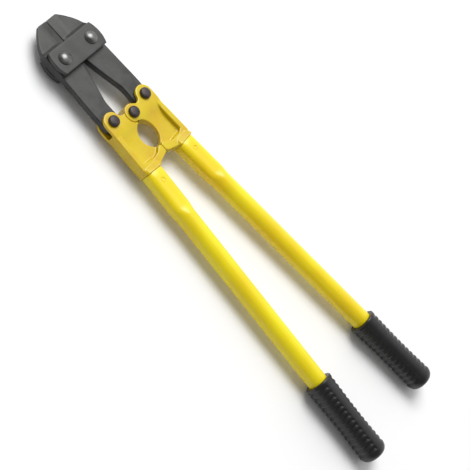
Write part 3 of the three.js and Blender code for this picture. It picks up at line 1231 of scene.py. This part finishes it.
def ribbed_side():
    """Rounded ribs with narrower grooves between them, from the domed end to the collar."""
    points = []
    steps = 10 * RIBS
    for i in range(steps, -1, -1):
        along = FIRST_GROOVE + RIB_PITCH * (i / 10 - 0.5)
        wave = 0.5 - 0.5 * math.cos(math.tau * i / 10)
        points.append((crest(along) - RIB_DEPTH * wave**1.6, along))
    return points


def grip():
    """Rubber grip: ribs all round, with a plain strip lengthwise where the grooves are filled."""
    body = turned(grip_profile(ribbed_side()), 96, (0, 1, 0))
    length_start = FIRST_GROOVE - 2
    length_end = FIRST_GROOVE + (RIBS - 1) * RIB_PITCH + 4
    stations = [length_start + (length_end - length_start) * i / 12 for i in range(13)]
    strip_face = traced(
        [(crest(s) - 0.12, -s, 0) for s in stations]
        + [(14, -length_end, 0), (14, -length_start, 0)]
    )
    edit(strip_face)
    bpy.ops.mesh.spin(steps=14, angle=math.radians(STRIP_WIDTH), center=(0, 0, 0), axis=(0, 1, 0))
    done()
    clean_pole(strip_face)
    strip_face.rotation_euler.y = math.radians(STRIP_PLACE)
    pick(strip_face)
    bpy.ops.object.transform_apply(location=True, rotation=True, scale=True)
    pick(body)
    strip_face.select_set(True)
    bpy.ops.object.join()
    return soften(body, 0.56, 3)


for side, name, paint in ((1, "right", TUBE_RIGHT), (-1, "left", TUBE_LEFT)):
    for make, kind, slot, finish, smooth in (
        (tube, "handle_tube_", "painted_tube", paint, 40),
        (tang_pin_piece, "tang_pin_", "painted_tube", paint, 40),
        (grip, "grip_", "grip_rubber", RUBBER, 60),
    ):
        piece = on_handle(make())
        if side < 0:
            other_hand(piece)
        finished(piece, kind + name, "handle_" + name, finish, smooth)

# ---- Floor, light and camera ----

nothing_selected()
bpy.ops.mesh.primitive_plane_add(size=12, location=(0, 0, floor_level - 0.0003))
floor = bpy.context.object
floor.name = "studio_floor"
sweep, sweep_tree = new_finish("white_paper_sweep")
paper_place = node(sweep_tree, "ShaderNodeTexCoord").outputs["Object"]
paper = node(sweep_tree, "ShaderNodeTexNoise", {"Vector": paper_place, "Scale": 3.0, "Detail": 2.0})
paper_tone = node(
    sweep_tree,
    "ShaderNodeMix",
    {"Factor": paper.outputs["Fac"], LOW_COLOUR: colour("#f1f1f1"), HIGH_COLOUR: colour("#f5f5f5")},
    data_type="RGBA",
)
paper_shader = node(
    sweep_tree,
    "ShaderNodeBsdfPrincipled",
    {"Base Color": paper_tone.outputs[MIXED], "Roughness": 0.9},
)
node(sweep_tree, "ShaderNodeOutputMaterial", {"Surface": paper_shader.outputs["BSDF"]})
floor.data.materials.append(sweep)

world = bpy.data.worlds.new("studio")
bpy.context.scene.world = world
world.use_nodes = True
# The room is bright on the side of the lamps and dimmer on the other, so steel shows its bevels.
towards = node(world.node_tree, "ShaderNodeTexCoord").outputs["Generated"]
sideways = node(world.node_tree, "ShaderNodeSeparateXYZ", {"Vector": towards})
room = node(
    world.node_tree,
    "ShaderNodeMapRange",
    {"Value": sideways.outputs["X"], "From Min": 0.0, "From Max": 0.6, "To Min": 0.32, "To Max": 1.05},
)
backdrop = world.node_tree.nodes["Background"]
backdrop.inputs["Color"].default_value = (1, 1, 1, 1)
world.node_tree.links.new(room.outputs["Result"], backdrop.inputs["Strength"])


softbox = bpy.data.lights.new("key_softbox", "AREA")
softbox.shape = "RECTANGLE"
softbox.size = 2.0
softbox.size_y = 2.0
softbox.energy = 92
lamp = bpy.data.objects.new("key_softbox", softbox)
bpy.context.scene.collection.objects.link(lamp)
lamp.location = (1.1, 1.3, 2.8)
lamp.rotation_euler = (-lamp.location).to_track_quat("-Z", "Y").to_euler()

AZIMUTH = math.radians(-103.96)
ELEVATION = math.radians(51.392)
ROLL = math.radians(59.18)
DISTANCE = 1.27584
aim = Vector((-0.00186, -0.01102, centre.z))
back = Vector(
    (
        math.sin(AZIMUTH) * math.cos(ELEVATION),
        -math.cos(AZIMUTH) * math.cos(ELEVATION),
        math.sin(ELEVATION),
    )
)
level_right = Vector((0, 0, 1)).cross(back).normalized()
level_up = back.cross(level_right)
up = level_up * math.cos(ROLL) - level_right * math.sin(ROLL)
right = up.cross(back)
camera = bpy.data.objects.new("camera", bpy.data.cameras.new("camera"))
bpy.context.scene.collection.objects.link(camera)
camera.matrix_world = Matrix.Translation(aim + back * DISTANCE) @ Matrix(
    (right, up, back)
).transposed().to_4x4()
camera.data.lens = 85.975
camera.data.clip_end = 50
bpy.context.scene.camera = camera
bpy.context.scene.view_settings.view_transform = "Standard"
